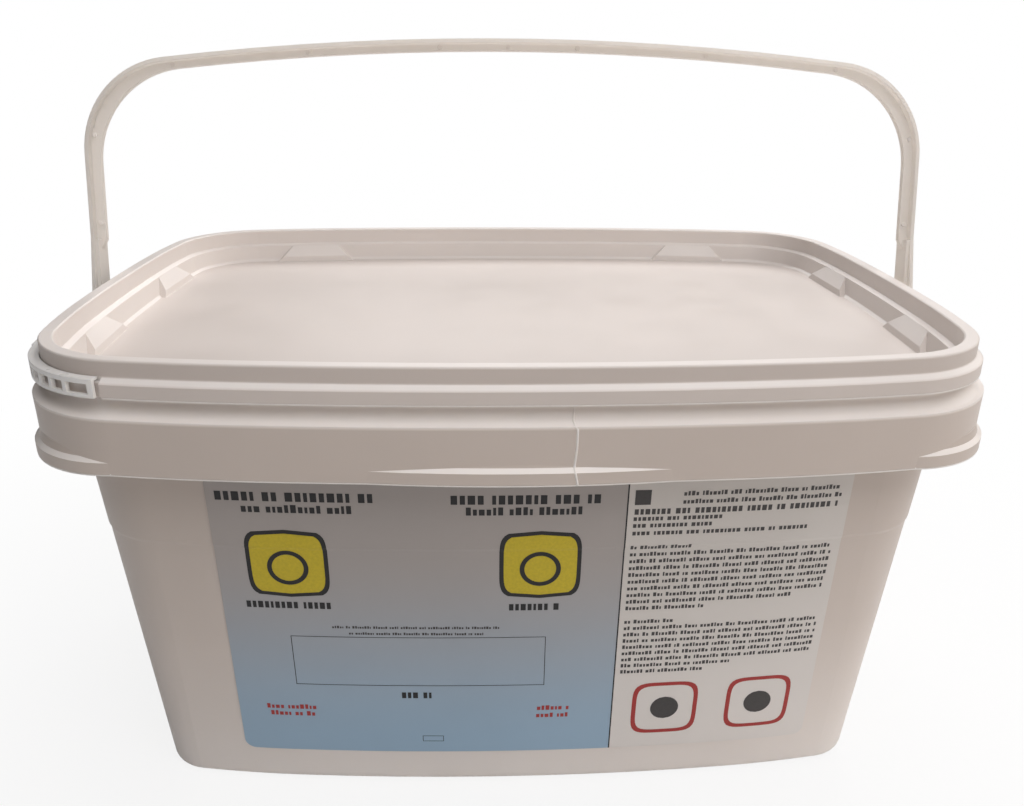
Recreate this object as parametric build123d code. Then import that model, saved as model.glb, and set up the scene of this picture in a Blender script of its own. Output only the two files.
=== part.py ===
"""Specimen transport box: a moulded rectangular pail with a snap lid, a carrying handle and a
tear-off ladder strip.  Millimetres, +Z up, origin at the middle of the footprint.
+X runs along the long side, -Y is the labelled front.

Every moulding follows one plan outline, a bowed rounded rectangle.  A cross-section is drawn as
(n, z), where n is the distance outwards from the lid rim's outline, and swept once round it."""
import os
from math import acos, asin, atan2, cos, degrees, hypot, radians, sin, sqrt, tan

from build123d import *

# Plan outline, taken at the outer face of the lid rim
half_width = 196.3
half_depth = 139.1
long_side_radius = 1342.0
short_side_radius = 1346.0
long_side_run = 103.7
short_side_run = 47.8
long_end_radius = 585.0
short_end_radius = 422.0
corner_radius = 47.0

# Heights of the box
box_height = 216.0
rim_face_height = 6.7
rim_chamfer_drop = 1.95
lid_band_height = 5.1
shoulder_drop = 7.7
skirt_height = 22.7

# Lid
lid_wall = 1.5
rim_width = 5.6
band_reach = 2.8
upper_tier_depth = 7.8
upper_tier_draft = 0.8
ledge_width = 2.8
ledge_fall = 0.9
panel_depth = 17.5
lower_tier_draft = 2.4
panel_bevel = 1.2
panel_lap = 2.4
rim_edge_bevel = 0.5
lid_clearance = 0.5

# Stacking nubs on the lid
nub_projection = 3.6
nub_face_height = 3.0
nub_lean = 0.7
nub_foot = 45.5
nub_head = 26.5
long_nub_place = 118.0
short_nub_place = 52.0

# Gasket in the lid's channel
gasket_height = 1.2
seal_gap = 0.3
gasket_side_gap = 0.1

# Tub
tub_wall = 1.8
wall_inset = 10.6
wall_draft = 5.15
floor_thickness = 2.2
floor_recess = 1.0
foot_round = 5.0
floor_bevel = 3.0
foot_width = 6.5
nest_step_height = 133.0
nest_step = 0.5
nest_step_slope = 1.5
bead_reach = 0.9
bead_height = 3.6
bead_slope = 1.4
bead_lift = 0.2
cove_radius = 7.0
shoulder_lip = 0.3
flare_drop = 3.5
flare_angle = 40.0
pocket_drop = 5.0
skirt_wall = 1.9
skirt_draft = 0.3
sheet = 2.0
fuse_overlap = 0.5

# Swellings along the skirt's lower edge
swell_reach = 2.0
swell_flat = 4.8
swell_height = 9.4
swell_sink = 2.8
swell_fullness = 0.35
grip_length = 108.0
corner_swell_reach = 2.8
corner_swell_radius = 42.0

# Ribs behind the skirt
rib_wall = 1.5
rib_setback = 5.0
rib_root = 0.8
long_rib_places = (23.0, 69.0)
short_rib_place = 40.0

# Handle
handle_lean = 12.0
handle_rise = 146.2
handle_bow_radius = 1400.0
handle_corner = 45.0
strap_width = 11.0
flange_wall = 1.8
web_wall = 3.0
arm_gap = 0.4
grip_depth = 4.8
web_start = 46.0
web_taper = 5.0
hub_radius = 11.5
hub_flare = 52.0
hub_gap = 0.35
hub_wall = 3.55
pivot_radius = 5.0
pivot_clearance = 0.08
pivot_head_radius = 6.3
pivot_head_wall = 2.2
pivot_head_gap = 0.4
pivot_slit = 1.2
slit_stop = 1.0
pivot_boss_radius = 9.0
pivot_boss_height = 1.2

# Ladder strip
strip_wall = 1.6
strip_standoff = 1.5
strip_front_end = 156.6
strip_end_gap = 1.5
strip_height = 7.4
top_rail = 1.9
bottom_rail = 1.4
rung_width = 1.9
rung_pitch = 8.0
rung_count = 7
long_window = 9.4
long_window_lead = 2.4
tab_length = 14.0
tab_thickening = 0.8
lip_gap = 0.3
lip_wall = 0.9

# Label
label_left = -124.8
label_right = 137.5
label_bottom = 19.5
label_top = 167.0
label_corner = 5.0
label_thickness = 0.3
label_gap = 0.05

# Heights and offsets that follow
rim_face_foot = box_height - rim_face_height
band_top = rim_face_foot - rim_chamfer_drop
band_foot = band_top - lid_band_height
shoulder_height = band_foot - shoulder_drop
skirt_foot = shoulder_height - skirt_height
panel_height = box_height - panel_depth
draft = tan(radians(wall_draft))
channel_top = box_height - lid_wall
channel_outer = -lid_wall
channel_inner = lid_wall - rim_width
blade_top = channel_top - gasket_height - seal_gap
blade_outer = channel_outer - lid_clearance
blade_inner = channel_inner + lid_clearance
shoulder_reach = blade_outer + cove_radius + shoulder_lip
pivot_height = skirt_foot + skirt_height / 2
skirt_side = half_width + shoulder_reach
handle_reach = skirt_side + hub_gap + hub_wall
web_depth = handle_reach - half_width - band_reach - arm_gap
neck_face = blade_outer
cove_place = neck_face + cove_radius
cove_height = shoulder_height + cove_radius
floor_top = floor_recess + floor_thickness
ALIGN_LOW = (Align.CENTER, Align.CENTER, Align.MIN)
strip_reach = band_reach + strip_standoff


def corner_centre():
    """Centre of the corner arc at +X -Y, tangent inside the two end arcs, with their centres."""
    long_centre = Vector(0, long_side_radius - half_depth)
    short_centre = Vector(half_width - short_side_radius, 0)
    long_join = Vector(long_side_run, -sqrt(long_side_radius**2 - long_side_run**2)).normalized()
    short_join = Vector(sqrt(short_side_radius**2 - short_side_run**2), -short_side_run).normalized()
    long_end = long_centre + long_join * (long_side_radius - long_end_radius)
    short_end = short_centre + short_join * (short_side_radius - short_end_radius)
    reach_a = long_end_radius - corner_radius
    reach_b = short_end_radius - corner_radius
    line = short_end - long_end
    turn = acos((reach_a**2 + line.length**2 - reach_b**2) / (2 * reach_a * line.length))
    heading = atan2(line.Y, line.X) + turn
    centre = long_end + Vector(cos(heading), sin(heading)) * reach_a
    return centre, long_end, short_end, long_join, short_join


def quarter_points(grow):
    """Arc ends and middles from the front's middle to the right side's middle."""
    centre, long_end, short_end, long_join, short_join = corner_centre()
    to_front = (centre - long_end).normalized()
    to_side = (centre - short_end).normalized()
    front_mid = (long_join + to_front).normalized()
    corner_mid = (to_front + to_side).normalized()
    side_mid = (to_side + short_join).normalized()
    return [
        Vector(0, -half_depth - grow),
        long_end + long_join * (long_end_radius + grow),
        long_end + front_mid * (long_end_radius + grow),
        long_end + to_front * (long_end_radius + grow),
        centre + corner_mid * (corner_radius + grow),
        centre + to_side * (corner_radius + grow),
        short_end + side_mid * (short_end_radius + grow),
        short_end + short_join * (short_end_radius + grow),
        Vector(half_width + grow, 0),
    ]


def outline(grow=0.0):
    """Plan face of the bowed rounded rectangle, offset outwards by grow."""
    front, join, mid, tangent, bend, leave, side_mid, side_join, side = quarter_points(grow)

    def quarter(flip_x, flip_y):
        stops = (join, mid, tangent, bend, leave, side_mid, side_join)
        p = [Vector(q.X * flip_x, q.Y * flip_y) for q in stops]
        return [ThreePointArc(*p[0:3]), ThreePointArc(*p[2:5]), ThreePointArc(*p[4:7])]

    arcs = quarter(1, 1) + quarter(-1, 1) + quarter(-1, -1) + quarter(1, -1)
    for sign in (1, -1):
        ends = Vector(join.X, join.Y * sign), Vector(-join.X, join.Y * sign)
        arcs.append(ThreePointArc(ends[0], Vector(0, front.Y * sign), ends[1]))
        ends = Vector(side_join.X * sign, side_join.Y), Vector(side_join.X * sign, -side_join.Y)
        arcs.append(ThreePointArc(ends[0], Vector(side.X * sign, 0), ends[1]))
    return make_face(arcs).face()


def side_plane(point, outward):
    """Plane of a cross-section: x runs outwards as n, y is up as z, with n = 0 at point."""
    return Plane(origin=point, x_dir=outward, z_dir=(outward.Y, -outward.X, 0))


def front_plane(x):
    """Section plane on the front at x: on its middle arc, or on the end arc beyond it."""
    centre, radius = Vector(0, long_side_radius - half_depth), long_side_radius
    if x > long_side_run:
        centre, radius = corner_centre()[1], long_end_radius
    run = x - centre.X
    outward = Vector(run, -sqrt(radius**2 - run**2)).normalized()
    return side_plane(centre + outward * radius, outward)


def right_plane(y):
    """Section plane on the right side at y, which is below zero."""
    centre, radius = Vector(half_width - short_side_radius, 0), short_side_radius
    if -y > short_side_run:
        centre, radius = corner_centre()[2], short_end_radius
    run = y - centre.Y
    outward = Vector(sqrt(radius**2 - run**2), run).normalized()
    return side_plane(centre + outward * radius, outward)


def quartet(piece):
    """A piece and its mirror images in the box's two planes of symmetry."""
    pair = [piece, mirror(piece, Plane.YZ)]
    return pair + [mirror(p, Plane.XZ) for p in pair]


def swept(section):
    """Sweep an (n, z) section once round the outline."""
    return sweep(front_plane(0) * section, path=outline().outer_wire())


def slab(grow, low, high):
    """Plate of the plan outline between two heights."""
    return extrude(Pos(0, 0, low) * outline(grow), high - low)


def corner(face, point):
    """Corner of a section nearest to a point."""
    return face.vertices().sort_by_distance((*point, 0))[0]


def wall_face(z):
    """Outer face of the tub's drafted wall at height z, as n."""
    step = 0.0 if z >= nest_step_height else nest_step
    return -wall_inset - (skirt_foot - z) * draft - step


def pocket_points():
    """Roof of the hollow behind the skirt, from the skirt up under the cove."""
    radius = cove_radius + sheet
    skirt_inner = shoulder_reach - skirt_wall
    edge = cove_height - sqrt(radius**2 - (skirt_inner - cove_place) ** 2)
    top = (cove_place - sqrt(radius**2 - pocket_drop**2), cove_height - pocket_drop)
    bend = radius * cos(radians(45))
    return (skirt_inner, edge), (cove_place - bend, cove_height - bend), top


def rim_points(flare_foot, flare_start):
    """Inside of the flare, the rim blade and its snap bead, down to the top of the cove."""
    flare_rise = (blade_inner - flare_start + tub_wall) / tan(radians(flare_angle))
    bead_foot = band_foot + bead_lift
    return [
        (flare_start - tub_wall, flare_foot),
        (blade_inner, flare_foot + flare_rise),
        (blade_inner, blade_top),
        (blade_outer, blade_top),
        (blade_outer, bead_foot + bead_height),
        (bead_reach, bead_foot + bead_height - bead_slope),
        (bead_reach, bead_foot + bead_slope),
        (neck_face, bead_foot),
        (neck_face, cove_height),
    ]


def tub_section():
    """Tub's section: drafted wall, flared neck, rim blade with bead, cove, shoulder and skirt."""
    foot = wall_face(0)
    inner_foot = wall_face(floor_top) - tub_wall
    ring_end = foot - foot_width - 2 * floor_recess
    step_foot = nest_step_height - nest_step_slope
    flare_foot = shoulder_height - flare_drop
    flare_start = wall_face(flare_foot)
    bend = cove_radius * cos(radians(45))
    with BuildLine() as edge:
        Polyline(
            (cove_place, shoulder_height),
            (shoulder_reach, shoulder_height),
            (shoulder_reach - skirt_draft, skirt_foot),
            (shoulder_reach - skirt_wall - skirt_draft, skirt_foot),
            *pocket_points(),
            (flare_start, flare_foot),
            (wall_face(nest_step_height), nest_step_height),
            (wall_face(step_foot), step_foot),
            (foot, 0),
            (foot - foot_width, 0),
            (foot - foot_width - floor_recess, floor_recess),
            (ring_end, floor_recess),
            (ring_end, floor_top),
            (inner_foot, floor_top),
            (wall_face(step_foot) - tub_wall, step_foot),
            (wall_face(nest_step_height) - tub_wall, nest_step_height),
            *rim_points(flare_foot, flare_start),
        )
        ThreePointArc(
            (neck_face, cove_height),
            (cove_place - bend, cove_height - bend),
            (cove_place, shoulder_height),
        )
    face = make_face(edge.line)
    face = fillet(corner(face, (foot, 0)), foot_round)
    return chamfer(corner(face, (inner_foot, floor_top)), floor_bevel)


def swelling(radius, x, y):
    """Disc whose bevelled edge stands out of the skirt as a swelling and fades where it sinks in."""
    top = skirt_foot + swell_height
    bend = skirt_foot + swell_flat
    middle = (radius - swell_sink * (1 - swell_fullness), bend + (top - bend) * swell_fullness)
    profile = Polyline(
        (0, skirt_foot),
        (radius, skirt_foot),
        (radius, bend),
        middle,
        (radius - swell_sink, top),
        (0, top),
        close=True,
    )
    return Pos(x, y) * revolve(Plane.XZ * make_face(profile), Axis.Z)


def skirt_swellings():
    """Grip swellings on the two long sides and bumpers round the four corners."""
    core = slab(shoulder_reach - skirt_wall / 2, skirt_foot - 1, shoulder_height + 1)
    half_grip = grip_length / 2
    sagitta = swell_reach + long_side_radius - sqrt(long_side_radius**2 - half_grip**2)
    grip_radius = (half_grip**2 + sagitta**2) / (2 * sagitta)
    grip_place = half_depth + shoulder_reach + swell_reach - grip_radius
    middle = Box(1.1 * grip_length, half_depth, skirt_height, align=(Align.CENTER, Align.MIN, Align.MIN))
    grip = swelling(grip_radius, 0, grip_place) & (Pos(0, half_depth / 2, skirt_foot) * middle)
    centre = corner_centre()[0]
    diagonal = (quarter_points(0)[4] - centre).normalized()
    place = centre + diagonal * (corner_radius + shoulder_reach + corner_swell_reach - corner_swell_radius)
    bumpers = quartet(swelling(corner_swell_radius, place.X, place.Y))
    return [solid - core for solid in [grip, mirror(grip, Plane.XZ)] + bumpers]


def pocket_rib(plane):
    """Rib that ties the skirt to the wall, rooted in the sheet round the pocket."""
    low = skirt_foot + rib_setback
    pocket_edge, pocket_middle, pocket_top = pocket_points()
    flare_foot = shoulder_height - flare_drop
    profile = Polyline(
        (wall_face(low) - rib_root, low),
        (pocket_edge[0] + rib_root, low),
        (pocket_edge[0] + rib_root, pocket_edge[1] + rib_root),
        (pocket_middle[0] + rib_root, pocket_middle[1] + rib_root),
        (pocket_top[0] - rib_root / 2, pocket_top[1] + rib_root / 2),
        (wall_face(flare_foot) - rib_root, flare_foot + rib_root),
        close=True,
    )
    return extrude(plane * make_face(profile), rib_wall / 2, both=True)


def tub():
    """Tub with its floor, pocketed skirt, swellings, ribs and the two pivot holes."""
    floor_edge = wall_face(0) - foot_width - 2 * floor_recess + fuse_overlap
    body = swept(tub_section()) + slab(floor_edge, floor_recess, floor_top)
    for plane in [front_plane(x) for x in long_rib_places] + [right_plane(-short_rib_place)]:
        body += quartet(pocket_rib(plane))
    body += skirt_swellings()
    boss_reach = pivot_boss_height + skirt_wall / 2
    boss_start = half_width + shoulder_reach - skirt_wall - pivot_boss_height
    for sign in (1, -1):
        turn = Pos(0, 0, pivot_height) * Rot(0, 90 * sign, 0)
        boss = Pos(0, 0, boss_start) * Cylinder(pivot_boss_radius, boss_reach, align=ALIGN_LOW)
        hole = Pos(0, 0, boss_start - 1) * Cylinder(pivot_radius + pivot_clearance, 8, align=ALIGN_LOW)
        body = body + turn * boss - turn * hole
    return body


def lid_section():
    """Lid's section: outer band, chamfer, hollow stacking rim, ledge and the wall down to the panel."""
    ledge_outer = (-rim_width - upper_tier_draft, box_height - upper_tier_depth)
    ledge_inner = (ledge_outer[0] - ledge_width, ledge_outer[1] - ledge_fall)
    wall_foot = (ledge_inner[0] - lower_tier_draft, panel_height)
    panel_edge = wall_foot[0] - panel_lap
    rim_inner = (-rim_width, box_height)
    profile = Polyline(
        (panel_edge, panel_height),
        wall_foot,
        ledge_inner,
        ledge_outer,
        rim_inner,
        (0, box_height),
        (0, rim_face_foot),
        (band_reach, band_top),
        (band_reach, band_foot),
        (band_reach - lid_wall, band_foot),
        (band_reach - lid_wall, band_top - lid_wall / 2),
        (channel_outer, rim_face_foot - lid_wall / 2),
        (channel_outer, channel_top),
        (channel_inner, channel_top),
        (ledge_outer[0] + lid_wall, ledge_outer[1] - lid_wall),
        (ledge_inner[0] + lid_wall, ledge_inner[1] - lid_wall),
        (wall_foot[0] + lid_wall, panel_height - lid_wall / 2),
        (wall_foot[0] + lid_wall / 2, panel_height - lid_wall),
        (panel_edge, panel_height - lid_wall),
        close=True,
    )
    face = make_face(profile)
    face = chamfer(corner(face, wall_foot), panel_bevel)
    for point in (rim_inner, (0, box_height)):
        face = chamfer(corner(face, point), rim_edge_bevel)
    return face


def stacking_nub(plane):
    """Buttress on the lower wall of the lid's recess, narrower at its top, that centres a box above."""
    top_n = -rim_width - upper_tier_draft - ledge_width
    top_z = box_height - upper_tier_depth - ledge_fall
    foot_n = top_n - lower_tier_draft - nub_projection
    profile = Polyline(
        (top_n + fuse_overlap, panel_height - lid_wall / 2),
        (top_n + fuse_overlap, top_z),
        (top_n, top_z),
        (foot_n + nub_lean, panel_height + nub_face_height),
        (foot_n, panel_height),
        (foot_n, panel_height - lid_wall / 2),
        close=True,
    )
    block = extrude(plane * make_face(profile), nub_foot, both=True)
    rise = top_z - panel_height
    spread = (nub_foot - nub_head) / 2 / rise
    low = panel_height - lid_wall
    reach = nub_foot / 2 + spread * lid_wall
    face = Polyline((-reach, low), (reach, low), (nub_head / 2, top_z), (-nub_head / 2, top_z), close=True)
    across = Plane(origin=plane.origin, x_dir=plane.z_dir, z_dir=-plane.x_dir)
    return block & extrude(across * make_face(face), 3 * nub_foot, both=True)


def corner_sector(start, stop, low, high, reach=90.0):
    """Wedge about the front left corner's centre, between angles turned from the front to the side."""
    centre = corner_centre()[0]
    steps = 4
    angles = [radians(start + (stop - start) * i / steps) for i in range(steps + 1)]
    points = [(-centre.X - reach * sin(a), centre.Y - reach * cos(a)) for a in angles]
    face = make_face(Polyline((-centre.X, centre.Y), *points, close=True))
    return extrude(Pos(0, 0, low) * face, high - low)


def strip_angle(run):
    """Angle at the corner's centre for a run along the strip, measured from its front end."""
    radius = corner_radius + strip_reach - strip_wall / 2
    first = degrees(asin((strip_front_end - corner_centre()[0].X) / radius))
    return first + degrees(run / radius)


def strip_length():
    """Length of the strip from its front end to the end of its pull tab."""
    return long_window_lead + long_window + rung_pitch * (rung_count - 1) + rung_width + tab_length


def lid():
    """Lid with its recessed panel and stacking nubs, cut away where the ladder strip closes it."""
    panel_edge = -rim_width - upper_tier_draft - ledge_width - lower_tier_draft - panel_lap + fuse_overlap
    body = swept(lid_section()) + slab(panel_edge, panel_height - lid_wall, panel_height)
    for plane in (front_plane(long_nub_place), right_plane(-short_nub_place)):
        body += quartet(stacking_nub(plane))
    rim = slab(0, band_foot - 1, rim_face_foot)
    start = strip_angle(-strip_end_gap)
    stop = strip_angle(strip_length() + strip_end_gap)
    return body - (corner_sector(start, stop, band_foot - 1, rim_face_foot) - rim)


def lid_gasket():
    """Gasket ring against the top of the lid's channel."""
    low = channel_top - gasket_height
    profile = Polyline(
        (channel_inner + gasket_side_gap, low),
        (channel_outer - gasket_side_gap, low),
        (channel_outer - gasket_side_gap, channel_top),
        (channel_inner + gasket_side_gap, channel_top),
        close=True,
    )
    return swept(make_face(profile))


def ring(inner, outer, low, high):
    """Rectangular section swept round the outline."""
    return swept(make_face(Polyline((inner, low), (outer, low), (outer, high), (inner, high), close=True)))


def ladder_strip():
    """Tear-off strip round the front left corner: rails, rungs, long window, pull tab and inner lip."""
    inner = strip_reach - strip_wall
    top = band_foot + strip_height
    end = strip_length()
    body = ring(inner, strip_reach, band_foot, top)
    body = body & corner_sector(strip_angle(0), strip_angle(end), band_foot - 1, top + 1)
    low = band_foot + bottom_rail
    high = top - top_rail
    window = long_window_lead
    cuts = [(window, window + long_window)]
    rung = window + long_window + rung_width / 2
    for i in range(rung_count - 1):
        place = rung + i * rung_pitch
        cuts.append((place + rung_width / 2, place + rung_pitch - rung_width / 2))
    for first, last in cuts:
        body -= corner_sector(strip_angle(first), strip_angle(last), low, high)
    tab = ring(inner + strip_wall / 2, strip_reach + tab_thickening, band_foot, top)
    body += tab & corner_sector(strip_angle(end - tab_length), strip_angle(end), band_foot - 1, top + 1)
    lip = ring(lip_gap, inner + fuse_overlap, top - lip_wall, top)
    return body + (lip & corner_sector(strip_angle(0), strip_angle(end), high, top + 1))


def front_label():
    """Thin blank label that follows the front wall over the nesting step."""
    step_foot = nest_step_height - nest_step_slope
    heights = [label_bottom - 1, step_foot, nest_step_height, label_top + 1]
    inner = [(wall_face(z) + label_gap, z) for z in heights]
    outer = [(n + label_thickness, z) for n, z in reversed(inner)]
    shell = swept(make_face(Polyline(*inner, *outer, close=True)))
    width = label_right - label_left
    height = label_top - label_bottom
    middle = Pos((label_left + label_right) / 2, 0, (label_bottom + label_top) / 2)
    window = extrude(Plane.XZ * RectangleRounded(width, height, label_corner), 2 * half_depth)
    return shell & (middle * window)


def arch_face(inset_side, inset_top, corner):
    """Face of the handle's arch above the pivots, inset from its outer line; y is the height."""
    reach = handle_reach - inset_side
    apex = handle_rise - inset_top
    radius = handle_bow_radius - inset_top
    centre_z = apex - radius
    bend_x = reach - corner
    bend_z = centre_z + sqrt((radius - corner) ** 2 - bend_x**2)
    to_bend = Vector(bend_x, bend_z - centre_z).normalized()
    join = Vector(0, centre_z) + to_bend * radius
    half = Vector(to_bend.X + 1, to_bend.Y).normalized()
    bend = Vector(bend_x, bend_z) + half * corner
    with BuildLine() as edge:
        ThreePointArc((-join.X, join.Y), (0, apex), (join.X, join.Y))
        ThreePointArc((join.X, join.Y), (bend.X, bend.Y), (reach, bend_z))
        Polyline((reach, bend_z), (reach, 0), (-reach, 0), (-reach, bend_z))
        ThreePointArc((-reach, bend_z), (-bend.X, bend.Y), (-join.X, join.Y))
    return make_face(edge.line)


def strap():
    """T-shaped strap: an outer flange and an inner web, with solid feet beside the skirt."""
    outer = arch_face(0, 0, handle_corner)
    flange = outer - arch_face(flange_wall, flange_wall, handle_corner - flange_wall)
    web = outer - arch_face(web_depth, grip_depth, handle_corner)
    past_skirt = skirt_side + hub_gap
    past_lid = handle_reach - web_depth
    for sign in (1, -1):
        relief = Polyline(
            (sign * (past_lid - 1), -1),
            (sign * past_skirt, -1),
            (sign * past_skirt, web_start),
            (sign * past_lid, web_start + web_taper),
            (sign * (past_lid - 1), web_start + web_taper),
            close=True,
        )
        web -= make_face(relief)
    flange = extrude(Plane.XZ * flange, strap_width / 2, both=True)
    body = flange + extrude(Plane.XZ * web, web_wall / 2, both=True)
    for sign in (1, -1):
        foot = Box(hub_wall, strap_width, web_start + web_taper, align=ALIGN_LOW)
        body += Pos(sign * (handle_reach - hub_wall / 2), 0, 0) * foot
    return body


def hub():
    """Right-hand hub: disc, flared root of the flange and the split snap pin, along +X."""
    inner = skirt_side + hub_gap
    behind = skirt_side - skirt_wall - pivot_boss_height - pivot_head_gap
    tip = behind - pivot_head_wall
    profile = Polyline(
        (tip, 0),
        (handle_reach, 0),
        (handle_reach, hub_radius),
        (inner, hub_radius),
        (inner, pivot_radius),
        (behind, pivot_radius),
        (behind, pivot_head_radius),
        (behind - pivot_head_wall / 2, pivot_head_radius),
        (tip, pivot_radius - pivot_slit / 2),
        close=True,
    )
    turned = revolve(Plane.XZ * make_face(profile), Axis.X)
    half_strap = strap_width / 2
    spread = atan2(hub_flare, half_strap) - acos(hub_radius / hypot(half_strap, hub_flare))
    touch = (hub_radius * cos(spread), hub_radius * sin(spread))
    far_touch = (-touch[0], touch[1])
    root = Polyline((half_strap, hub_flare), touch, far_touch, (-half_strap, hub_flare), close=True)
    flare = extrude(Plane.YZ.offset(handle_reach - flange_wall) * make_face(root), flange_wall)
    from_tip = (Align.MIN, Align.CENTER, Align.CENTER)
    slit = Pos(tip, 0, 0) * Box(inner - tip - slit_stop, pivot_slit, 4 * pivot_radius, align=from_tip)
    return turned + flare - slit


def handle():
    """Carrying handle in its resting lean."""
    right = hub()
    body = strap() + right + mirror(right, Plane.YZ)
    return Pos(0, 0, pivot_height) * Rot(-handle_lean, 0, 0) * body


PIECES = {
    "tub": tub,
    "front_label": front_label,
    "lid": lid,
    "lid_gasket": lid_gasket,
    "ladder_strip": ladder_strip,
    "handle": handle,
}

if __name__ == "__main__":
    os.makedirs("parts", exist_ok=True)
    for name, build in PIECES.items():
        export_step(build(), f"parts/{name}.step")
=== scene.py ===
"""Looks of the specimen transport box: camera, lamps, materials, the label's print and fine marks.

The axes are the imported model's: +X along the long side, -Y to the labelled front, +Z up, origin in
the middle of the footprint. Sizes and places on the object are in mm, and so is the camera's place.
Lamps, the floor, clipping, ray starts and a shader's own lengths are in metres. Colours are linear."""
import math

import bmesh
import bpy
from mathutils import Matrix, Vector
from mathutils.bvhtree import BVHTree


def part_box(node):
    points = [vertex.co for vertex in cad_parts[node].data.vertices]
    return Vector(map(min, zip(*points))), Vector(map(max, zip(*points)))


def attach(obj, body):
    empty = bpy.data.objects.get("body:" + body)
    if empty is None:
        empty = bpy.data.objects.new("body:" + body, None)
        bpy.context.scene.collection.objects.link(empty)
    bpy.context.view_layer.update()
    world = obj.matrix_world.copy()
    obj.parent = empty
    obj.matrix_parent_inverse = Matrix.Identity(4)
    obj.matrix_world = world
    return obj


MM = 0.001

# Camera: place in mm, angles in degrees, focal length and principal point in pixels of the frame
camera_place = (-15.338, -455.150, 323.924)
camera_yaw = 2.339
camera_pitch = 21.731
camera_roll = 0.528
focal_pixels = 922.903
principal_point = (514.473, 413.952)
frame_size = (1024, 806)
sensor_width = 36.0
clip_start = 0.01
clip_end = 50.0

# Lamps: name, place, target, size, power in watts and colour
lamps = (
    ("key", (0.3, -0.62, 1.42), (0, 0, 0.1), (1.4, 1.4), 14.8, (1.0, 0.985, 0.985)),
    ("front_right", (1.2, -1.1, 0.45), (0, 0, 0.12), (0.8, 0.6), 3.1, (1.0, 0.88, 0.78)),
    ("back", (0.2, 1.0, 1.1), (0, 0, 0.25), (1.2, 0.6), 12.0, (1.0, 0.99, 0.99)),
    ("right", (1.2, 0.5, 0.75), (0, 0, 0.2), (0.8, 0.8), 3.2, (1.0, 0.93, 0.86)),
)

# Surroundings: the room lights the object, and the floor fades to white from near to far
plain_white = (1.0, 1.0, 1.0)
room_colour = (1.0, 0.95, 0.90)
room_strength = 0.055
paper_colour = (0.9, 0.9, 0.9)
floor_fade = (0.15, 0.6)
floor_whiteness = (0.84, 1.0)
floor_radius = 6.0
floor_sides = 96
floor_drop = 0.0002

# Colours
shell_white = (0.780, 0.705, 0.655)
lid_white = (0.800, 0.735, 0.695)
strip_white = (0.970, 0.955, 0.935)
handle_white = (0.960, 0.930, 0.895)
flash_white = (0.970, 0.925, 0.885)
gasket_grey = (0.520, 0.505, 0.480)
label_top_colour = (0.440, 0.402, 0.385)
label_foot_colour = (0.345, 0.497, 0.650)
label_side_colour = (0.690, 0.650, 0.616)
# The side panel is paler towards its foot: painted light
label_side_foot_painted_light = (0.830, 0.788, 0.758)
ink_black = (0.012, 0.012, 0.014)
ink_grey = (0.055, 0.050, 0.050)
ink_red = (0.420, 0.030, 0.025)
ink_yellow = (0.640, 0.500, 0.020)

# Colour zones: (height, factor of the colour). A real moulding has one colour all over, and these
# zones stand for shading in the photograph that the lamps alone don't give.
tub_painted_light_stops = (
    (0, 1.2),
    (30, 1.08),
    (85, 0.9),
    (150, 0.82),
    (193.6, 0.83),
    (194.2, 1.22),
    (202.5, 1.22),
    (203, 1.0),
    (215, 1.0),
)
lid_painted_light_stops = (
    (198, 0.88),
    (207.2, 0.89),
    (207.4, 1.18),
    (209.2, 1.18),
    (209.4, 0.81),
    (215.3, 0.81),
    (216, 1.12),
)
# Painted highlight on the tub's upward-facing faces and painted light on the lid's inward-facing faces:
# each is one factor of the colour at all heights
tub_upper_painted_highlight = 1.22
lid_inner_painted_light = 1.03

# For the painted highlight and painted light on faces turned up or inwards: the part of a face's normal
# that points the zone's way, where the zone begins and where it is full
painted_highlight_turn = (0.35, 0.7)
painted_inner_light_turn = (0.1, 0.3)
upwards = (0.0, 0.0, 1.0)
to_the_axis = (-1.0, -1.0, 0.0)

# Loss of saturation for each unit of a zone's factor
paling = 1.8

# Far ends of a curve's axes: the height in metres and the factor
curve_top = 0.25
curve_reach = 2.0

# Moulded plastic: scales of its noises, the ranges that they are spread over, edges and shader
cloud_scale = 9.0
cloud_span = (0.3, 0.7)
cloud_tone = (0.975, 1.02)
grain_scale = 1400.0
grain_depth = 0.00002
swell_scale = 45.0
swell_depth = 0.00006
gloss_scale = 30.0
gloss_detail = 4.0
gloss_span = (0.25, 0.75)
gloss_spread = (-0.05, 0.06)
fine_detail = 2.0
edge_radius = 0.0005
edge_samples = 6
plastic_specular = 0.5
scatter_weight = 0.12
scatter_radius = (1.0, 0.9, 0.75)
scatter_scale = 0.002
shell_roughness = 0.38
lid_roughness = 0.42
strip_roughness = 0.3
flash_roughness = 0.3
gasket_roughness = 0.6
handle_through = 0.5

# Ink and label film
ink_scale = 900.0
ink_span = (0.2, 0.8)
ink_cover = (0.92, 1.06)
ink_roughness = 0.45
film_scale = 12.0
film_tone = (0.98, 1.02)
film_swell_scale = 60.0
film_swell_depth = 0.00008
film_roughness = 0.36
film_fade_end = 30.0

# Rays that look for a surface start this far out, from the front and from all round
front_start = -1.0
plan_start = 0.5

# Corners of a new mesh that are closer than this become one
merge_distance = 1e-7


def rgba(colour):
    """RGBA from a linear RGB colour."""
    return (*colour, 1.0)


# ---------------------------------------------------------------- shader helpers


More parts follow.
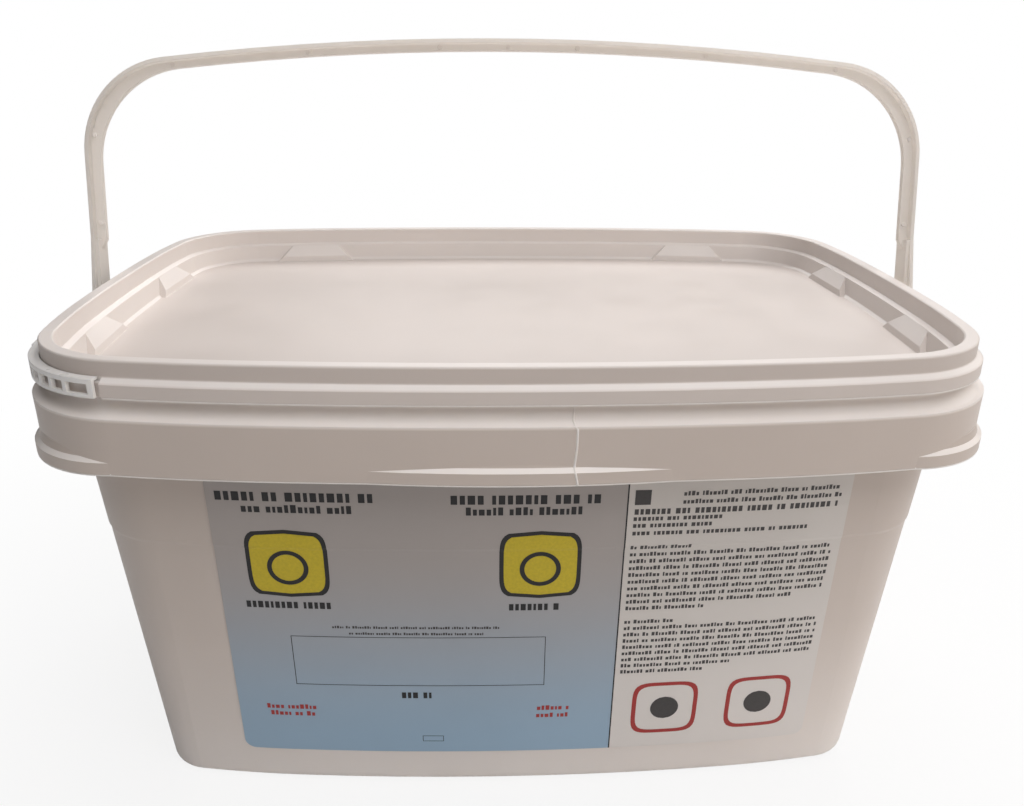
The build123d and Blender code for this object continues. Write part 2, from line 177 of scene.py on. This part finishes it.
class Nodes:
    """Short way to add and link shader nodes of one material."""

    def __init__(self, name):
        self.material = bpy.data.materials.new(name)
        self.material.use_nodes = True
        self.tree = self.material.node_tree
        self.tree.nodes.clear()
        self.out = self.tree.nodes.new("ShaderNodeOutputMaterial")
        self.place = self.tree.nodes.new("ShaderNodeTexCoord").outputs["Object"]

    def add(self, kind, inputs=None, **settings):
        node = self.tree.nodes.new(kind)
        for key, value in settings.items():
            setattr(node, key, value)
        for key, value in (inputs or {}).items():
            if isinstance(value, bpy.types.NodeSocket):
                self.tree.links.new(value, node.inputs[key])
            else:
                node.inputs[key].default_value = value
        return node

    def math(self, operation, a, b):
        return self.add("ShaderNodeMath", {0: a, 1: b}, operation=operation).outputs[0]

    def noise(self, scale, detail=3.0):
        inputs = {"Vector": self.place, "Scale": scale, "Detail": detail}
        return self.add("ShaderNodeTexNoise", inputs).outputs["Fac"]

    def ramp(self, value, low, high, to_low=0.0, to_high=1.0):
        inputs = {"Value": value, "From Min": low, "From Max": high, "To Min": to_low, "To Max": to_high}
        return self.add("ShaderNodeMapRange", inputs, interpolation_type="SMOOTHSTEP").outputs[0]

    def mix(self, factor, a, b):
        """Colour between a and b; the numbers are the sockets that a mix of colours uses."""
        return self.add("ShaderNodeMix", {0: factor, 6: a, 7: b}, data_type="RGBA").outputs[2]

    def heights(self, stops):
        """Factor that changes with the height in mm: stops are (height, factor), lowest first."""
        rise = self.add("ShaderNodeSeparateXYZ", {0: self.place}).outputs["Z"]
        node = self.add("ShaderNodeFloatCurve", {"Value": self.math("MULTIPLY", rise, 1 / curve_top)})
        curve = node.mapping.curves[0]
        while len(curve.points) < len(stops):
            curve.points.new(0.5, 0.5)
        for point, (height, factor) in zip(curve.points, stops):
            point.location = (height * MM / curve_top, factor / curve_reach)
            point.handle_type = "VECTOR"
        node.mapping.extend = "HORIZONTAL"
        node.mapping.update()
        return self.math("MULTIPLY", node.outputs[0], curve_reach)

    def facing(self, direction, low, high):
        """From 0 to 1 as the surface's normal along a direction goes from low to high."""
        normal = self.place.node.outputs["Normal"]
        inputs = {0: normal, 1: direction}
        along = self.add("ShaderNodeVectorMath", inputs, operation="DOT_PRODUCT").outputs["Value"]
        return self.ramp(along, low, high)

    def inward(self):
        """Direction from the surface to the upright axis in the middle of the box."""
        inputs = {0: self.place, 1: to_the_axis}
        level = self.add("ShaderNodeVectorMath", inputs, operation="MULTIPLY").outputs[0]
        return self.add("ShaderNodeVectorMath", {0: level}, operation="NORMALIZE").outputs[0]

    def finish(self, shader):
        self.tree.links.new(shader.outputs[0], self.out.inputs["Surface"])
        return self.material


def moulded_plastic(name, colour, roughness=shell_roughness, through=0.0, stops=None, pale=None):
    """Satin polypropylene: faint cloudiness and a fine moulding texture.

    through is the share of light that passes a thin wall. stops are zones of painted light and shade by
    height. pale names the faces, "inner" or "upper", that take one factor of painted light at all heights,
    and gives it."""
    n = Nodes(name)
    cloud = n.noise(cloud_scale)
    grain = n.noise(grain_scale, fine_detail)
    shade = n.ramp(cloud, *cloud_span, *cloud_tone)
    strength = 1.0
    # Painted light and shade: the height zones scale the colour, faces turned up or inwards take their own
    # factor, and the colour pales as the factor grows
    if stops:
        factor = n.heights(stops)
        if pale:
            side, level = pale
            if side == "inner":
                share = n.facing(n.inward(), *painted_inner_light_turn)
            else:
                share = n.facing(upwards, *painted_highlight_turn)
            rest = n.math("SUBTRACT", level, factor)
            factor = n.math("ADD", factor, n.math("MULTIPLY", share, rest))
        shade = n.math("MULTIPLY", shade, factor)
        strength = n.math("SUBTRACT", 1.0 + paling, n.math("MULTIPLY", factor, paling))
    inputs = {"Color": rgba(colour), "Value": shade, "Saturation": strength}
    tint = n.add("ShaderNodeHueSaturation", inputs).outputs[0]
    glossier, duller = (roughness + part for part in gloss_spread)
    unevenness = n.ramp(n.noise(gloss_scale, gloss_detail), *gloss_span, glossier, duller)
    swell = n.math("MULTIPLY", n.noise(swell_scale, fine_detail), swell_depth)
    height = n.math("ADD", n.math("MULTIPLY", grain, grain_depth), swell)
    bump = n.add("ShaderNodeBump", {"Height": height, "Distance": 1.0, "Strength": 1.0})
    edge = n.add("ShaderNodeBevel", {"Radius": edge_radius}, samples=edge_samples)
    n.tree.links.new(edge.outputs[0], bump.inputs["Normal"])
    inputs = {"Base Color": tint, "Roughness": unevenness, "Normal": bump.outputs[0]}
    shader = n.add("ShaderNodeBsdfPrincipled", inputs)
    shader.inputs["Specular IOR Level"].default_value = plastic_specular
    shader.inputs["Subsurface Weight"].default_value = scatter_weight
    shader.inputs["Subsurface Radius"].default_value = scatter_radius
    shader.inputs["Subsurface Scale"].default_value = scatter_scale
    if through:
        glow = n.add("ShaderNodeBsdfTranslucent", {"Color": rgba(colour)})
        shader = n.add("ShaderNodeMixShader", {0: through, 1: shader.outputs[0], 2: glow.outputs[0]})
    return n.finish(shader)


def ink(name, colour):
    """Printing ink on the label, with slightly uneven cover."""
    n = Nodes(name)
    cover = n.ramp(n.noise(ink_scale, fine_detail), *ink_span, *ink_cover)
    tint = n.add("ShaderNodeHueSaturation", {"Color": rgba(colour), "Value": cover}).outputs[0]
    shader = n.add("ShaderNodeBsdfPrincipled", {"Base Color": tint})
    shader.inputs["Roughness"].default_value = ink_roughness
    return n.finish(shader)


def label_film():
    """Satin printed film: beige above and light blue below, with an off-white side panel that is paler
    towards its foot as painted light.
    """
    n = Nodes("label_film")
    axes = n.add("ShaderNodeSeparateXYZ", {0: n.place})
    low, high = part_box("front_label")
    rise = n.ramp(axes.outputs["Z"], low[2], high[2] - film_fade_end * MM)
    panel = n.mix(rise, rgba(label_foot_colour), rgba(label_top_colour))
    past = n.math("GREATER_THAN", axes.outputs["X"], divider_x * MM)
    # The side panel pales towards its foot as painted light
    side = n.mix(rise, rgba(label_side_foot_painted_light), rgba(label_side_colour))
    tone = n.mix(past, panel, side)
    shade = n.ramp(n.noise(film_scale), *cloud_span, *film_tone)
    tint = n.add("ShaderNodeHueSaturation", {"Color": tone, "Value": shade}).outputs[0]
    height = n.math("MULTIPLY", n.noise(film_swell_scale), film_swell_depth)
    bump = n.add("ShaderNodeBump", {"Height": height, "Distance": 1.0})
    shader = n.add("ShaderNodeBsdfPrincipled", {"Base Color": tint, "Normal": bump.outputs[0]})
    shader.inputs["Roughness"].default_value = film_roughness
    return n.finish(shader)


# ---------------------------------------------------------------- surfaces and pieces


def meshes_of(node):
    """Mesh objects of one CAD node."""
    return [o for o in bpy.data.objects if o.type == "MESH" and o.name.split(".")[0] == node]


def dress(node, material):
    """Give a CAD node's material slots a finish."""
    for mesh_object in meshes_of(node):
        for slot in mesh_object.material_slots:
            slot.material = material


def skin(node):
    """Search tree over the surface of one CAD node."""
    return BVHTree.FromObject(meshes_of(node)[0], bpy.context.evaluated_depsgraph_get())


def from_front(surface, x, z):
    """Point and normal where a line from the front, at x and z in mm, meets a surface."""
    start = Vector((x * MM, front_start, z * MM))
    hit, normal, _, _ = surface.ray_cast(start, Vector((0, 1, 0)))
    return hit, normal


def add_piece(name, bm, material, body):
    """Make an object of a finished mesh, riding on a body and with a node's material slot."""
    bmesh.ops.remove_doubles(bm, verts=bm.verts, dist=merge_distance)
    bmesh.ops.recalc_face_normals(bm, faces=bm.faces)
    mesh = bpy.data.meshes.new(name)
    bm.to_mesh(mesh)
    bm.free()
    mesh.materials.append(material)
    piece = bpy.data.objects.new(name, mesh)
    bpy.context.collection.objects.link(piece)
    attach(piece, body)


# ---------------------------------------------------------------- print on the label

# The sheets of ink, and how finely they follow the label
print_lift = 0.06
step_heights = (131.2, 131.5, 131.8, 132.7, 133.0, 133.3)
bar_step = 6.0
patch_levels = 14
patch_columns = 5
loop_segments = 64
squarish = 5.0
circle = 2.0

# Blank blocks in place of letters: how many make a word, and widths and rises that repeat. A row's
# height and word_turn pick its first word, and rise_turn is how many rises each block moves on.
word_letters = (7, 3, 9, 5, 2, 8, 6, 4)
letter_widths = (1.0, 0.8, 1.15, 0.9, 0.6)
letter_rises = (0.0, 0.3, 0.0, 0.0, 0.35)
letter_gap = 0.4
word_gap = 0.9
word_turn = 7
rise_turn = 3

# Lines and boxes: (left, right, foot, top)
divider_x = 44.0
divider_half = 0.3
divider_gap = 0.5
name_box = (-97.4, 12.8, 59.3, 86.7)
name_line = 0.3
foot_box = (-42.2, -32.6, 26.0, 29.4)
foot_line = 0.25
side_block = (46.8, 53.3, 153.0, 160.0)

# Rows of blocks: (left, right, height of the middle), and their (block height, block width)
title_rows = ((-121, -55.5, 157), (-27, 35.8, 156.4))
title_size = (4.2, 2.6)
subtitle_rows = ((-111, -65.5, 151), (-21, 30, 150.6))
subtitle_size = (2.8, 2.0)
caption_rows = ((-114.5, -75, 103.2), (-3.3, 20.2, 102.8), (-50.7, -35.1, 53.8))
caption_size = (3.4, 1.9)
hint_rows = ((-79, -6.6, 91.8), (-72, -14, 88.5))
hint_size = (1.0, 0.8)
side_rows = ((66.6, 133.8, 157.6), (66.6, 133.8, 153.8))
side_size = (1.6, 1.2)
heading_rows = ((47, 134.6, 149.7),)
heading_size = (2.6, 1.7)
list_rows = ((46.8, 85.5, 146.3), (46.8, 80, 143.0), (46.8, 122.5, 139.3))
list_size = (1.8, 1.4)
red_rows = ((-112, -89.3, 45.6), (-110.6, -90.4, 41.6), (9.9, 25.4, 45.4), (9.6, 25.6, 41.0))
red_size = (2.0, 1.5)

# Paragraphs: (height of the first row, right ends of the rows)
paragraphs = (
    (132.0, (74, *[134.3] * 7, 119, 81)),
    (93.2, (69, *[134.2] * 6, 96, 84)),
)
paragraph_left = 46.6
paragraph_pitch = 3.5
paragraph_size = (1.5, 1.15)

# Yellow patches with a ring, and red frames with a dot
patch_places = (-95.0, 9.5)
patch_height = 124.5
patch_half = 17.0
yellow_half = 15.2
ring_drop = 2
ring_radii = (6.6, 8.6)
frame_places = (68.4, 112.3)
frame_height = 43.0
frame_halves = (13.2, 15.2)
dot_radius = 6.5


class Sheet:
    """Flat shapes given in mm of the front view, laid on the label as one thin piece."""

    def __init__(self, name, colour, layer=1):
        self.name = name
        self.material = ink("ink_" + name, colour)
        self.lift = print_lift * layer * MM
        self.surface = skin("front_label")
        self.bm = bmesh.new()

    def point(self, x, z):
        hit, normal = from_front(self.surface, x, z)
        return self.bm.verts.new(hit + normal * self.lift)

    def grid(self, rows):
        """Quads between rows of points, each row a list of (x, z)."""
        laid = [[self.point(*p) for p in row] for row in rows]
        for low, high in zip(laid, laid[1:]):
            for a, b, c, d in zip(low, low[1:], high[1:], high):
                self.bm.faces.new((a, b, c, d))

    def levels(self, z0, z1, step):
        """Heights from z0 to z1, with extra ones where the wall has its nesting step."""
        count = max(1, math.ceil((z1 - z0) / step))
        even = {z0 + (z1 - z0) * i / count for i in range(count + 1)}
        return sorted(even | {z for z in step_heights if z0 < z < z1})

    def bar(self, x0, x1, z0, z1):
        count = max(1, math.ceil((x1 - x0) / bar_step))
        xs = [x0 + (x1 - x0) * i / count for i in range(count + 1)]
        self.grid([[(x, z) for x in xs] for z in self.levels(z0, z1, bar_step)])

    def frame(self, x0, x1, z0, z1, line):
        self.bar(x0, x1, z0, z0 + line)
        self.bar(x0, x1, z1 - line, z1)
        for x in (x0, x1 - line):
            self.bar(x, x + line, z0 + line, z1 - line)

    def patch(self, x, z, half, power=squarish):
        """Filled square with round corners, or a disc."""
        rows = []
        for level in self.levels(z - half, z + half, half / patch_levels):
            reach = half * max(0.0, 1 - abs((level - z) / half) ** power) ** (1 / power)
            columns = range(-patch_columns, patch_columns + 1)
            rows.append([(x + reach * i / patch_columns, level) for i in columns])
        self.grid(rows)

    def loop(self, x, z, inner, outer, power=squarish):
        """Outline of a square with round corners, or a ring."""
        turns = [2 * math.pi * i / loop_segments for i in range(loop_segments + 1)]
        corners = [(math.cos(t), math.sin(t)) for t in turns]
        corners = [(c, s, (abs(c) ** power + abs(s) ** power) ** (-1 / power)) for c, s in corners]
        self.grid([[(x + r * k * c, z + r * k * s) for c, s, k in corners] for r in (inner, outer)])

    def words(self, rows, size, rising=True):
        """Rows of blank blocks, spaced like lines of small print."""
        for x0, x1, z in rows:
            self.line(x0, x1, z, size, rising)

    def line(self, x0, x1, z, size, rising):
        """One row of blank blocks between x0 and x1, centred on z."""
        height, letter = size
        x = x0
        word = round(z * word_turn)
        block = 0
        while x + letter < x1:
            for _ in range(word_letters[word % len(word_letters)]):
                width = letter * letter_widths[block % len(letter_widths)]
                rise = height * letter_rises[(block * rise_turn + word) % len(letter_rises)] * rising
                if x + width <= x1:
                    self.bar(x, x + width, z - height / 2, z + height / 2 + rise)
                x += width + letter_gap * letter
                block += 1
            x += word_gap * letter
            word += 1

    def done(self):
        add_piece("print_" + self.name, self.bm, self.material, "tub")


def print_form():
    """Left panel: divider, bold rows, colour patches with dark rings, name box and small rows."""
    low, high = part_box("front_label")
    black = Sheet("black", ink_black)
    divider_top = high[2] / MM - divider_gap
    black.bar(divider_x - divider_half, divider_x + divider_half, low[2] / MM, divider_top)
    black.frame(*name_box, name_line)
    black.frame(*foot_box, foot_line)
    black.words(title_rows, title_size, rising=False)
    black.words(subtitle_rows, subtitle_size)
    black.words(caption_rows, caption_size, rising=False)
    for x in patch_places:
        black.patch(x, patch_height, patch_half)
    black.done()
    yellow = Sheet("yellow", ink_yellow, layer=2)
    for x in patch_places:
        yellow.patch(x, patch_height, yellow_half)
    yellow.done()
    rings = Sheet("rings", ink_black, layer=3)
    for x in patch_places:
        rings.loop(x, patch_height - ring_drop, *ring_radii, power=circle)
    rings.done()


def print_small():
    """Small rows on both panels with the red frames' dots, then the red rows and the frames."""
    small = Sheet("small", ink_grey)
    small.words(hint_rows, hint_size)
    small.bar(*side_block)
    small.words(side_rows, side_size)
    small.words(heading_rows, heading_size, rising=False)
    small.words(list_rows, list_size, rising=False)
    for top, ends in paragraphs:
        rows = [(paragraph_left, end, top - i * paragraph_pitch) for i, end in enumerate(ends)]
        small.words(rows, paragraph_size)
    for x in frame_places:
        small.patch(x, frame_height, dot_radius, power=circle)
    small.done()
    red = Sheet("red", ink_red)
    for x in frame_places:
        red.loop(x, frame_height, *frame_halves)
    red.words(red_rows, red_size)
    red.done()


# ---------------------------------------------------------------- fine marks of the moulding

# The seam's route down the front: (x, height)
seam_points = (
    (21.1, 171.9),
    (19.9, 178.1),
    (20.6, 185.8),
    (20.7, 193.5),
    (19.9, 194.5),
    (19.3, 195.4),
    (19.6, 197.5),
    (19.6, 200.1),
    (19.6, 201.9),
)
seam_half = 0.5
seam_rise = 0.36
seam_step = 0.8

# Flash under the skirt and the band, and the strip's liner. A clear is how far past the surface
# above it an edge has to reach to count as there, and less than 0 allows it to fall short.
plan_turns = 720
band_foot = 202.25
band_clear = 1.0
skirt_foot = 171.85
skirt_clear = -2.0
skirt_middle = 190.0
rim_middle = 212.0
bead_middle = 204.2
liner_heights = (202.4, 208.4)
liner_reach = (0.4, 0.8)
flash_drop = 0.6
flash_hold = 0.3
flash_wall = 0.4
mark_inset = 0.05

# Ejector marks, placed on the handle as it stands upright and then leaned back with it
bar_pads = (0.0, -33.5, 33.5, -97.0, 97.0, -162.0, 162.0)
arm_pads = (58.8, 100.7)
pad_reach = 201.6
pad_radius = 1.25
pad_taper = 0.85
pad_depth = 0.7
pad_sink = 0.2
pad_drop = 3.1
pad_segments = 24
handle_apex = 146.2
handle_bow = 1400.0
handle_web_face = -1.5
handle_lean = 12.0
pivot_height = 183.2


def round_plan(node, height, hold, clear):
    """Points all round a node's outside at a height in mm, each with its outward direction.

    The third value tells whether the edge is there: it reaches clear mm past the surface at hold."""
    surface = skin(node)
    found = []
    for i in range(plan_turns):
        turn = 2 * math.pi * i / plan_turns
        ray = Vector((math.cos(turn), math.sin(turn), 0))
        start = ray * plan_start
        hit, normal, _, _ = surface.ray_cast(start + Vector((0, 0, height * MM)), -ray)
        guard, _, _, _ = surface.ray_cast(start + Vector((0, 0, hold * MM)), -ray)
        out = Vector((normal.x, normal.y, 0)).normalized()
        found.append((hit, out, hit.xy.length >= guard.xy.length + clear * MM))
    return found


def hoop(name, places, profile, material, node):
    """Band with a four-cornered (outwards, height) profile in mm along the places that aren't None."""
    bm = bmesh.new()
    sections = []
    for place in places:
        if place is None:
            sections.append(None)
            continue
        hit, out = place
        points = [(hit + out * n * MM, z * MM) for n, z in profile]
        sections.append([bm.verts.new((p.x, p.y, z)) for p, z in points])
    for a, b in zip(sections, sections[1:] + sections[:1]):
        if a and b:
            for k in range(4):
                bm.faces.new((a[k], a[k - 1], b[k - 1], b[k]))
        elif a or b:
            bm.faces.new(a or b)
    add_piece(name, bm, material, node)


def flash(node, foot, hold, clear, material):
    """Thin moulding flash hanging under a node's outer edge at height foot, wherever the edge is there."""
    found = round_plan(node, foot + flash_hold, hold, clear)
    places = [(hit, out) if there else None for hit, out, there in found]
    inner = -mark_inset - flash_wall
    low = foot - flash_drop
    high = foot + flash_hold
    profile = ((-mark_inset, low), (-mark_inset, high), (inner, high), (inner, low))
    hoop(node + "_flash", places, profile, material, node)


def strip_liner(material):
    """Lid's thin wall behind the ladder strip, standing just off the tub's snap bead."""
    found = round_plan("lid", band_foot + flash_hold, rim_middle, band_clear)
    bead = round_plan("tub", bead_middle, bead_middle, 0.0)
    places = [None if there else (hit, out) for (_, _, there), (hit, out, _) in zip(found, bead)]
    low, high = liner_heights
    near, far = liner_reach
    hoop("strip_liner", places, ((far, low), (far, high), (near, high), (near, low)), material, "lid")


def seam(material):
    """Raised mould line that wanders down the front of the neck and skirt."""
    surface = skin("tub")
    bm = bmesh.new()
    rows = []
    for (x0, z0), (x1, z1) in zip(seam_points, seam_points[1:]):
        count = max(1, math.ceil((z1 - z0) / seam_step))
        for i in range(count):
            x = x0 + (x1 - x0) * i / count
            z = z0 + (z1 - z0) * i / count
            row = []
            for shift, rise in ((-seam_half, -mark_inset), (0, seam_rise), (seam_half, -mark_inset)):
                hit, normal = from_front(surface, x + shift, z)
                row.append(bm.verts.new(hit + normal * rise * MM))
            rows.append(row)
    for low, high in zip(rows, rows[1:]):
        for k in (0, 1):
            bm.faces.new((low[k], low[k + 1], high[k + 1], high[k]))
    add_piece("front_seam", bm, material, "tub")


def ejector_pads(material):
    """Small round pads that the mould's pins leave on the front of the handle's web."""
    pivot = Matrix.Translation((0, 0, pivot_height * MM))
    lean = pivot @ Matrix.Rotation(-math.radians(handle_lean), 4, "X")
    places = [(x, handle_apex - x * x / (2 * handle_bow) - pad_drop) for x in bar_pads]
    places += [(sign * pad_reach, r) for sign in (-1, 1) for r in arm_pads]
    bm = bmesh.new()
    for x, z in places:
        stand = Matrix.Translation((x * MM, (handle_web_face - pad_sink) * MM, z * MM))
        turn = lean @ stand @ Matrix.Rotation(math.pi / 2, 4, "X")
        bmesh.ops.create_cone(
            bm,
            cap_ends=True,
            segments=pad_segments,
            radius1=pad_radius * MM,
            radius2=pad_taper * pad_radius * MM,
            depth=pad_depth * MM,
            matrix=turn,
        )
    add_piece("ejector_pads", bm, material, "handle")


# ---------------------------------------------------------------- camera, lamps and surroundings


def add_camera():
    """Camera at the photograph's place, with its shift for the off-centre principal point."""
    yaw, pitch, roll = (math.radians(a) for a in (camera_yaw, camera_pitch, camera_roll))
    flat = math.cos(pitch)
    forward = Vector((math.sin(yaw) * flat, math.cos(yaw) * flat, -math.sin(pitch)))
    level = Vector((math.cos(yaw), -math.sin(yaw), 0))
    upright = level.cross(forward)
    right = level * math.cos(roll) + upright * math.sin(roll)
    up = upright * math.cos(roll) - level * math.sin(roll)
    width, height = frame_size
    data = bpy.data.cameras.new("camera")
    data.sensor_width = sensor_width
    data.lens = focal_pixels * sensor_width / width
    data.shift_x = (width / 2 - principal_point[0]) / width
    data.shift_y = (principal_point[1] - height / 2) / width
    data.clip_start = clip_start
    data.clip_end = clip_end
    camera = bpy.data.objects.new("camera", data)
    turn = Matrix((right, up, -forward)).transposed().to_4x4()
    camera.matrix_world = Matrix.Translation(Vector(camera_place) * MM) @ turn
    bpy.context.collection.objects.link(camera)
    bpy.context.scene.camera = camera


def add_lamp(name, place, target, size, power, colour):
    """Soft rectangular lamp that faces a target."""
    data = bpy.data.lights.new(name, "AREA")
    data.shape = "RECTANGLE"
    data.size, data.size_y = size
    data.energy = power
    data.color = colour
    lamp = bpy.data.objects.new(name, data)
    lamp.location = place
    towards = Vector(target) - Vector(place)
    lamp.rotation_euler = towards.to_track_quat("-Z", "Y").to_euler()
    bpy.context.collection.objects.link(lamp)


def add_world():
    """Even pale room; only rays from the camera see plain white in its place."""
    world = bpy.data.worlds.new("studio")
    bpy.context.scene.world = world
    world.use_nodes = True
    tree = world.node_tree
    tree.nodes.clear()
    rays = tree.nodes.new("ShaderNodeLightPath")
    room = tree.nodes.new("ShaderNodeBackground")
    room.inputs["Color"].default_value = rgba(room_colour)
    room.inputs["Strength"].default_value = room_strength
    white = tree.nodes.new("ShaderNodeBackground")
    white.inputs["Color"].default_value = rgba(plain_white)
    white.inputs["Strength"].default_value = 1.0
    mix = tree.nodes.new("ShaderNodeMixShader")
    out = tree.nodes.new("ShaderNodeOutputWorld")
    tree.links.new(rays.outputs["Is Camera Ray"], mix.inputs[0])
    tree.links.new(room.outputs[0], mix.inputs[1])
    tree.links.new(white.outputs[0], mix.inputs[2])
    tree.links.new(mix.outputs[0], out.inputs["Surface"])


def add_floor():
    """Pale floor that keeps a soft shadow near the box and runs out to plain white."""
    n = Nodes("floor")
    far = n.add("ShaderNodeVectorMath", {0: n.place}, operation="LENGTH").outputs["Value"]
    rays = n.add("ShaderNodeLightPath").outputs["Is Camera Ray"]
    fade = n.math("MULTIPLY", n.ramp(far, *floor_fade, *floor_whiteness), rays)
    paper = n.add("ShaderNodeBsdfDiffuse", {"Color": rgba(paper_colour)})
    white = n.add("ShaderNodeEmission", {"Color": rgba(plain_white), "Strength": 1.0})
    mixed = n.add("ShaderNodeMixShader", {0: fade, 1: paper.outputs[0], 2: white.outputs[0]})
    bpy.ops.mesh.primitive_circle_add(vertices=floor_sides, radius=floor_radius, fill_type="NGON")
    floor = bpy.context.object
    floor.name = "floor"
    floor.location.z = -floor_drop
    floor.data.materials.append(n.finish(mixed))


# ---------------------------------------------------------------- the scene

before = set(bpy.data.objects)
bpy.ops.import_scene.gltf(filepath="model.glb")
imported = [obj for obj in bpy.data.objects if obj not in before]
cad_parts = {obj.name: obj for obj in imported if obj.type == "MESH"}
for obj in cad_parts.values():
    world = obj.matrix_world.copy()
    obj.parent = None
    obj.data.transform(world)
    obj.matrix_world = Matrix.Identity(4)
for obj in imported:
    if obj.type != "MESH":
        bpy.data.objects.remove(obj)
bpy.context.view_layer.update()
bpy.context.scene.view_settings.view_transform = "Standard"

add_camera()
add_world()
add_floor()
for lamp in lamps:
    add_lamp(*lamp)

# The tub and the lid get painted light and shade in their colours, by height and by facing
tub_painted_light_zones = {"stops": tub_painted_light_stops, "pale": ("upper", tub_upper_painted_highlight)}
lid_gloss_and_painted_light = {"stops": lid_painted_light_stops, "pale": ("inner", lid_inner_painted_light), "roughness": lid_roughness}
lid_plastic = moulded_plastic("lid_plastic", lid_white, **lid_gloss_and_painted_light)
flash_plastic = moulded_plastic("flash_plastic", flash_white, roughness=flash_roughness)
dress("tub", moulded_plastic("tub_plastic", shell_white, **tub_painted_light_zones))
dress("lid", lid_plastic)
dress("handle", moulded_plastic("handle_plastic", handle_white, through=handle_through))
dress("ladder_strip", moulded_plastic("strip_plastic", strip_white, roughness=strip_roughness))
dress("lid_gasket", moulded_plastic("gasket_rubber", gasket_grey, roughness=gasket_roughness))
dress("front_label", label_film())

print_form()
print_small()
flash("tub", skirt_foot, skirt_middle, skirt_clear, flash_plastic)
flash("lid", band_foot, rim_middle, band_clear, flash_plastic)
strip_liner(lid_plastic)
seam(flash_plastic)
ejector_pads(flash_plastic)
